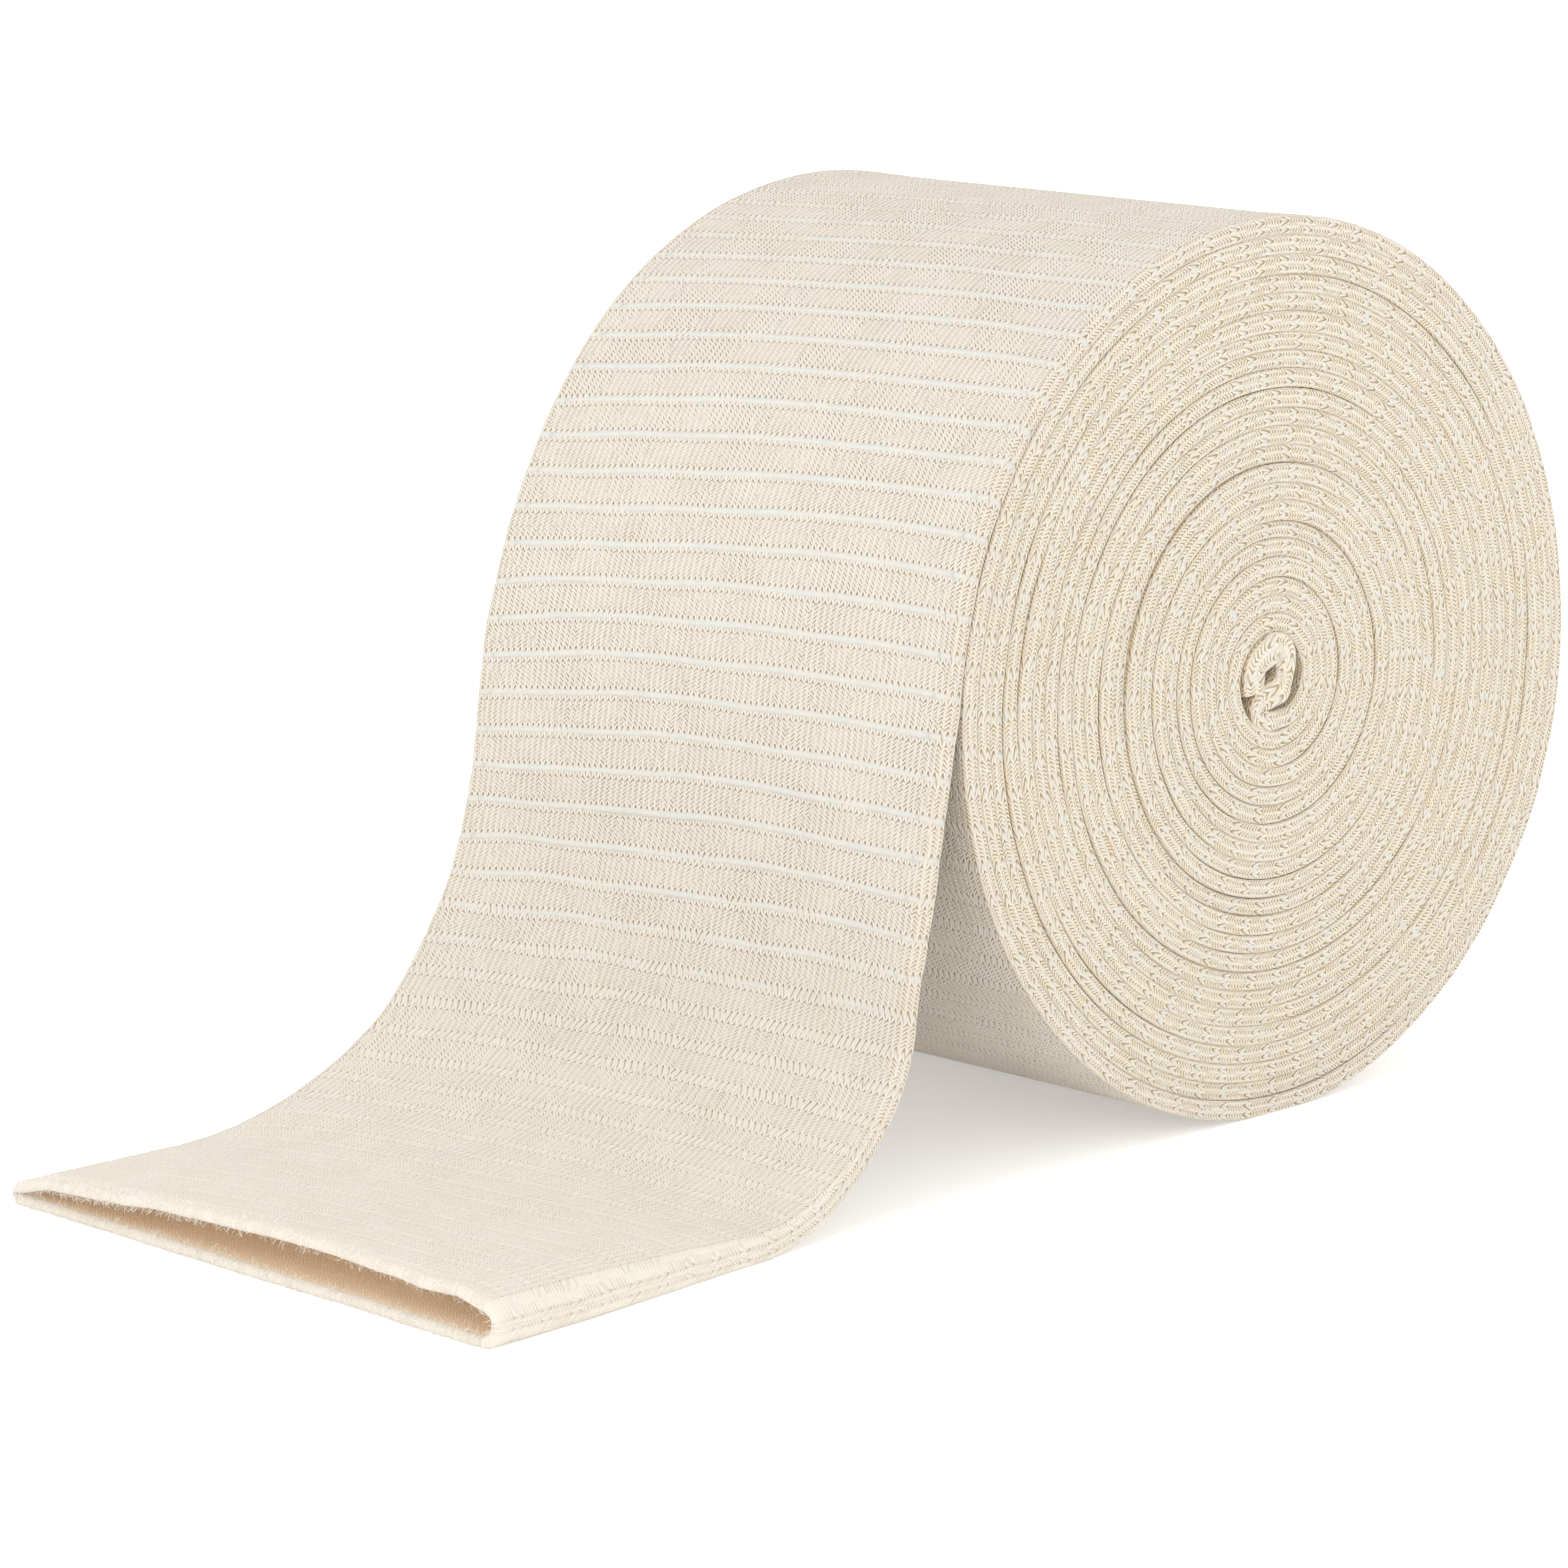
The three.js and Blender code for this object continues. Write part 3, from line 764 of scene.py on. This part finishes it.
def tree_with_inputs(name, inputs, output):
    """A new node tree with named inputs, and the sockets that it is given inside."""
    tree = bpy.data.node_groups.new(name, "GeometryNodeTree")
    for title, kind in inputs.items():
        tree.interface.new_socket(title, in_out="INPUT", socket_type="NodeSocket" + kind)
    tree.interface.new_socket(output, in_out="OUTPUT", socket_type="NodeSocketGeometry")
    return tree, tree.nodes.new("NodeGroupInput").outputs


def laid_threads_tree():
    """A tree that drapes evenly spaced flat threads over the whole cloth, straight in the knit's own places.
    Below one place, where the cloth is relaxed, and above another, where it is wound in, they lie deeper."""
    tree, given = tree_with_inputs("laid_threads", {
        "Cloth": "Geometry", "Rest Of Cloth": "Object", "Count": "Int", "First": "Float", "Spacing": "Float",
        "From": "Float", "To": "Float", "Steps": "Int", "Half Width": "Float", "Half Height": "Float",
        "Sunk": "Float", "Wander": "Float", "Relaxed Below": "Float", "Relaxed Sink": "Float",
        "Snug Above": "Float", "Snug Sink": "Float", "Material": "Material"}, "Threads")
    rod = add_node(tree, "GeometryNodeMeshCylinder", {
        "Vertices": THREAD_SIDES, "Side Segments": given["Steps"], "Radius": 1.0, "Depth": 1.0})
    reach = maths(tree, "SUBTRACT", given["To"], given["From"])
    centre = maths(tree, "MULTIPLY_ADD", reach, 0.5, given["From"])
    along = add_node(tree, "ShaderNodeCombineXYZ", {0: centre}).outputs[0]
    size = add_node(tree, "ShaderNodeCombineXYZ", {0: given["Half Height"], 1: given["Half Width"], 2: reach})
    flat = add_node(tree, "GeometryNodeTransform", {
        "Geometry": rod.outputs[0], "Translation": along, "Rotation": (0, math.pi / 2, 0),
        "Scale": size.outputs[0]})
    first = add_node(tree, "ShaderNodeCombineXYZ", {1: given["First"]}).outputs[0]
    apart = add_node(tree, "ShaderNodeCombineXYZ", {1: given["Spacing"]}).outputs[0]
    places = add_node(tree, "GeometryNodeMeshLine", {
        "Count": given["Count"], "Start Location": first, "Offset": apart})
    copies = add_node(tree, "GeometryNodeInstanceOnPoints", {
        "Points": places.outputs[0], "Instance": flat.outputs[0]})
    threads = add_node(tree, "GeometryNodeRealizeInstances", {"Geometry": copies.outputs[0]})

    knit = add_node(tree, "GeometryNodeInputNamedAttribute", {"Name": "knit"},
                    data_type="FLOAT_VECTOR").outputs[0]
    here = tree.nodes.new("GeometryNodeInputPosition").outputs[0]
    looks = tree.nodes.new("GeometryNodeInputNormal").outputs[0]
    rest = add_node(tree, "GeometryNodeObjectInfo", {"Object": given["Rest Of Cloth"]}).outputs["Geometry"]
    cloth = add_node(tree, "GeometryNodeJoinGeometry", {0: given["Cloth"]})
    tree.links.new(rest, cloth.inputs[0])
    found = add_node(tree, "GeometryNodeSampleUVSurface", {
        "Mesh": cloth.outputs[0], 1: here, "UV Map": knit, "Sample UV": here}, data_type="FLOAT_VECTOR")
    facing = add_node(tree, "GeometryNodeSampleUVSurface", {
        "Mesh": cloth.outputs[0], 1: looks, "UV Map": knit, "Sample UV": here}, data_type="FLOAT_VECTOR")

    _, place, above = add_node(tree, "ShaderNodeSeparateXYZ", {0: here}).outputs
    relaxed = add_node(tree, "ShaderNodeMapRange", {
        "Value": place, "From Min": given["Relaxed Below"],
        "From Max": times(tree, given["Relaxed Below"], RELAXED_RUN)}).outputs[0]
    snug = add_node(tree, "ShaderNodeMapRange", {
        "Value": place, "From Min": given["Snug Above"],
        "From Max": times(tree, given["Snug Above"], SNUG_RUN)}).outputs[0]
    bob = maths(tree, "SUBTRACT", blotches(tree, here, BOB_SCALE, 1.0), 0.5)
    sunk = maths(tree, "MULTIPLY_ADD", relaxed, given["Relaxed Sink"], given["Sunk"])
    sunk = maths(tree, "MULTIPLY_ADD", snug, given["Snug Sink"], sunk)
    sunk = maths(tree, "MULTIPLY_ADD", bob, given["Wander"], sunk)
    lift = add_node(tree, "ShaderNodeVectorMath", {
        0: facing.outputs[0], "Scale": maths(tree, "SUBTRACT", above, sunk)}, operation="SCALE").outputs[0]
    laid = add_node(tree, "GeometryNodeSetPosition", {
        "Geometry": threads.outputs[0], "Position": found.outputs[0], "Offset": lift})
    smooth = add_node(tree, "GeometryNodeSetShadeSmooth", {"Geometry": above_floor(tree, laid.outputs[0])})
    whole = add_node(tree, "GeometryNodeRealizeInstances", {"Geometry": smooth.outputs[0]})
    dyed = add_node(tree, "GeometryNodeSetMaterial", {
        "Geometry": whole.outputs[0], "Material": given["Material"]})
    add_node(tree, "NodeGroupOutput", {0: dyed.outputs[0]})
    return tree


def grown(name, source, tree, values):
    """A plain mesh object of what a tree makes from a source mesh, with the tree's named inputs set."""
    carrier = bpy.data.objects.new(name + "_carrier", source)
    bpy.context.scene.collection.objects.link(carrier)
    modifier = carrier.modifiers.new(name, "NODES")
    modifier.node_group = tree
    sockets = {item.name: item.identifier for item in tree.interface.items_tree if item.in_out == "INPUT"}
    for title, value in values.items():
        modifier[sockets[title]] = value
    shaped = carrier.evaluated_get(bpy.context.evaluated_depsgraph_get())
    mesh = bpy.data.meshes.new_from_object(shaped)
    bpy.data.objects.remove(carrier)
    mesh.name = name
    mesh.materials.pop(index=0)
    piece = bpy.data.objects.new(name, mesh)
    bpy.context.scene.collection.objects.link(piece)
    return piece


elastic = covered_elastic("elastic_thread")
laid_threads = laid_threads_tree()
thread_looks = {
    "Spacing": THREAD_SPACING, "Half Width": THREAD_HALF_WIDTH, "Half Height": THREAD_HALF_HEIGHT,
    "Sunk": THREAD_SUNK, "Wander": THREAD_WANDER, "Relaxed Below": RELAXED_BELOW,
    "Relaxed Sink": RELAXED_SINK, "Snug Above": SNUG_ABOVE, "Snug Sink": SNUG_SINK, "Material": elastic,
    "Rest Of Cloth": free_end}
free_threads = math.floor((PLACE_AT_SPLIT - RELAXED_RUN * RELAXED_BELOW) / THREAD_SPACING)
turn_threads = math.ceil(math.pi * ROLL_DIAMETER / THREAD_SPACING)
wound_threads = math.floor(winding_length / THREAD_SPACING)
first_thread = THREAD_SPACING * math.ceil(PLACE_AT_SPLIT / THREAD_SPACING)
first_free_thread = first_thread - free_threads * THREAD_SPACING
near_fold = TUBE_ROUND / 2 + FLAT_WIDTH / 2
far_fold = TUBE_ROUND / 2 - FLAT_WIDTH / 2
outer = {"First": first_free_thread, "Count": free_threads + turn_threads}
inner = {"First": first_thread + turn_threads * THREAD_SPACING, "Count": wound_threads - turn_threads,
         "Sunk": FOLD_SUNK, "Wander": FOLD_WANDER}
THREAD_RUNS = [
    {"name": "elastic_over_outside", "turns": outer, "from": far_fold + THREAD_WRAP,
     "to": near_fold - THREAD_WRAP, "steps": 60},
    {"name": "elastic_round_near_fold", "turns": outer, "from": near_fold - THREAD_WRAP,
     "to": near_fold + OVER_FOLD, "steps": 8},
    {"name": "elastic_round_far_fold", "turns": outer, "from": far_fold - OVER_FOLD,
     "to": far_fold + THREAD_WRAP, "steps": 8},
    {"name": "elastic_in_near_face", "turns": inner, "from": near_fold - THREAD_WRAP,
     "to": near_fold + THREAD_WRAP, "steps": 12},
    {"name": "elastic_in_far_face", "turns": inner, "from": far_fold - THREAD_WRAP,
     "to": far_fold + THREAD_WRAP, "steps": 12},
]
for run in THREAD_RUNS:
    reach = {"From": run["from"], "To": run["to"], "Steps": run["steps"]}
    threads = grown(run["name"], wound_turns.data, laid_threads, {**thread_looks, **run["turns"], **reach})
    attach(threads, "root")


# The tube is cut and not hemmed, so its lip frays into short cotton fibres. They are ends of the yarn itself,
# densest at the cut, and stand out of the lip all round the mouth.
FIBRE_RADIUS = 0.00002
FIBRE_LENGTH = 0.0008
FIBRE_BEND = (0.05, 0, 0.6)
FIBRE_TIP = (0.55, 0.2, 0.85)
FIBRE_TURN = (0.7, 0.7, math.pi)
FIBRE_SIDES = 3
FIBRE_STEPS = 3
FIBRE_LEAST = 0.5
FIBRE_MOST = 1.4
FIBRES_PER_AREA = 5.5e6
FRAYED_REACH = 0.0016
FRAY_SEED = 3
# Painted highlight: the fibres are coloured much whiter than the yarn they come from, for the light that the
# fine fibres catch.
FIBRE_LIT_WHITE = (0.90, 0.88, 0.82, 1)


def frayed_fibres_tree():
    """A tree that plants bent fibres on a knitted piece near its cut, thickest at the cut itself."""
    tree, given = tree_with_inputs("frayed_fibres", {
        "Cloth": "Geometry", "Density": "Float", "Cut": "Float", "Reach": "Float", "Radius": "Float",
        "Length": "Float", "Seed": "Int", "Material": "Material"}, "Fibres")
    here = tree.nodes.new("GeometryNodeInputPosition").outputs[0]
    back = add_node(tree, "ShaderNodeSeparateXYZ", {0: here}).outputs[0]
    edge = maths(tree, "ADD", given["Cut"], given["Reach"])
    near_cut = add_node(tree, "ShaderNodeMapRange", {
        "Value": back, "From Min": edge, "From Max": given["Cut"]}).outputs[0]
    planted = add_node(tree, "GeometryNodeDistributePointsOnFaces", {
        "Mesh": given["Cloth"], "Density": times(tree, near_cut, given["Density"]), "Seed": given["Seed"]})
    strand = add_node(tree, "GeometryNodeCurveQuadraticBezier", {
        "Resolution": FIBRE_STEPS, "Start": (0, 0, 0), "Middle": FIBRE_BEND, "End": FIBRE_TIP})
    ring = add_node(tree, "GeometryNodeCurvePrimitiveCircle", {
        "Resolution": FIBRE_SIDES, "Radius": maths(tree, "DIVIDE", given["Radius"], given["Length"])})
    fibre = add_node(tree, "GeometryNodeCurveToMesh", {
        "Curve": strand.outputs[0], "Profile Curve": ring.outputs[0], "Fill Caps": True})
    turn = add_node(tree, "FunctionNodeRandomValue", {
        0: [-most for most in FIBRE_TURN], 1: FIBRE_TURN, "Seed": given["Seed"]},
                    data_type="FLOAT_VECTOR").outputs[0]
    stood = add_node(tree, "FunctionNodeRotateRotation", {0: planted.outputs["Rotation"], 1: turn},
                     rotation_space="LOCAL").outputs[0]
    longer = add_node(tree, "FunctionNodeRandomValue", {
        2: FIBRE_LEAST, 3: FIBRE_MOST, "Seed": given["Seed"]}, data_type="FLOAT")
    copies = add_node(tree, "GeometryNodeInstanceOnPoints", {
        "Points": planted.outputs["Points"], "Instance": fibre.outputs[0], "Rotation": stood,
        "Scale": times(tree, longer.outputs[1], given["Length"])})
    whole = add_node(tree, "GeometryNodeRealizeInstances", {"Geometry": copies.outputs[0]})
    dyed = add_node(tree, "GeometryNodeSetMaterial", {
        "Geometry": above_floor(tree, whole.outputs[0]), "Material": given["Material"]})
    add_node(tree, "NodeGroupOutput", {0: dyed.outputs[0]})
    return tree


loose_cotton = bpy.data.materials.new("loose_cotton")
loose_cotton.use_nodes = True
loose_surface = loose_cotton.node_tree.nodes["Principled BSDF"]
# The fibres' whiter colour is a painted highlight.
loose_surface.inputs["Base Color"].default_value = FIBRE_LIT_WHITE
loose_surface.inputs["Roughness"].default_value = 1.0
fibres = grown("frayed_fibres", free_end.data, frayed_fibres_tree(), {
    "Density": FIBRES_PER_AREA, "Cut": mouth_x, "Reach": FRAYED_REACH, "Radius": FIBRE_RADIUS,
    "Length": FIBRE_LENGTH, "Seed": FRAY_SEED, "Material": loose_cotton})
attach(fibres, "root")


# The floor is a plain pale light table, wide enough to reach past the picture and lit a little from below.
# Soft studio light comes from above, the left and the front, and pale walls send light back from all round.
FLOOR_REACH = 8.0
FLOOR_WHITE = (0.93, 0.93, 0.93, 1)
FLOOR_GLOW = 0.30
WALL_WHITE = (1.0, 0.995, 0.985, 1)
WALL_LIGHT = 1.10
SOFT_BOXES = {
    "overhead_box": {"place": (-0.25, -0.15, 1.7), "width": 1.5, "power": 3.0},
    "left_box": {"place": (-1.5, 0.1, 1.1), "width": 1.1, "power": 7.5},
    "front_box": {"place": (0.35, -1.5, 0.5), "width": 1.1, "power": 3.5},
}

floor_mesh = bpy.data.meshes.new("floor")
floor_corners = [(-FLOOR_REACH, -FLOOR_REACH, 0), (FLOOR_REACH, -FLOOR_REACH, 0),
                 (FLOOR_REACH, FLOOR_REACH, 0), (-FLOOR_REACH, FLOOR_REACH, 0)]
floor_mesh.from_pydata(floor_corners, [], [(0, 1, 2, 3)])
floor = bpy.data.objects.new("floor", floor_mesh)
bpy.context.scene.collection.objects.link(floor)
floor_paint = bpy.data.materials.new("floor_paint")
floor_paint.use_nodes = True
floor_surface = floor_paint.node_tree.nodes["Principled BSDF"]
floor_surface.inputs["Base Color"].default_value = FLOOR_WHITE
floor_surface.inputs["Roughness"].default_value = 0.9
floor_surface.inputs["Emission Color"].default_value = FLOOR_WHITE
floor_surface.inputs["Emission Strength"].default_value = FLOOR_GLOW
floor_paint.cycles.emission_sampling = "NONE"
floor.data.materials.append(floor_paint)

world = bpy.data.worlds.new("studio")
world.use_nodes = True
world.node_tree.nodes["Background"].inputs["Color"].default_value = WALL_WHITE
world.node_tree.nodes["Background"].inputs["Strength"].default_value = WALL_LIGHT
bpy.context.scene.world = world

for name, box in SOFT_BOXES.items():
    lamp = bpy.data.lights.new(name, "AREA")
    lamp.size = box["width"]
    lamp.energy = box["power"]
    holder = bpy.data.objects.new(name, lamp)
    holder.location = box["place"]
    aim = roll_axis[0] - box["place"][0], -box["place"][1], roll_axis[1] - box["place"][2]
    holder.rotation_euler = Vector(aim).to_track_quat("-Z", "Y").to_euler()
    bpy.context.scene.collection.objects.link(holder)


# The camera stands low at the front left, where it did for the photograph, and looks slightly down. Its place
# and turn fit the outline of the roll, and its long lens shows the part nearly without perspective.
CAMERA_PLACE = (-0.58836, -0.58509, 0.22389)
CAMERA_TURN = -44.72
CAMERA_DOWN = 11.96
CAMERA_ROLL = -0.41
FOCAL_PIXELS = 6067.3
PHOTO_PIXELS = 1568
SENSOR_WIDTH = 36

camera = bpy.data.objects.new("camera", bpy.data.cameras.new("camera"))
turned = Matrix.Rotation(math.radians(CAMERA_TURN), 4, "Z")
tilted = Matrix.Rotation(math.radians(90 - CAMERA_DOWN), 4, "X")
rolled = Matrix.Rotation(math.radians(CAMERA_ROLL), 4, "Z")
camera.matrix_world = Matrix.Translation(CAMERA_PLACE) @ turned @ tilted @ rolled
camera.data.sensor_width = SENSOR_WIDTH
camera.data.lens = SENSOR_WIDTH * FOCAL_PIXELS / PHOTO_PIXELS
camera.data.clip_start = 0.05
camera.data.clip_end = 40
bpy.context.scene.collection.objects.link(camera)
bpy.context.scene.camera = camera
bpy.context.scene.view_settings.view_transform = "Standard"
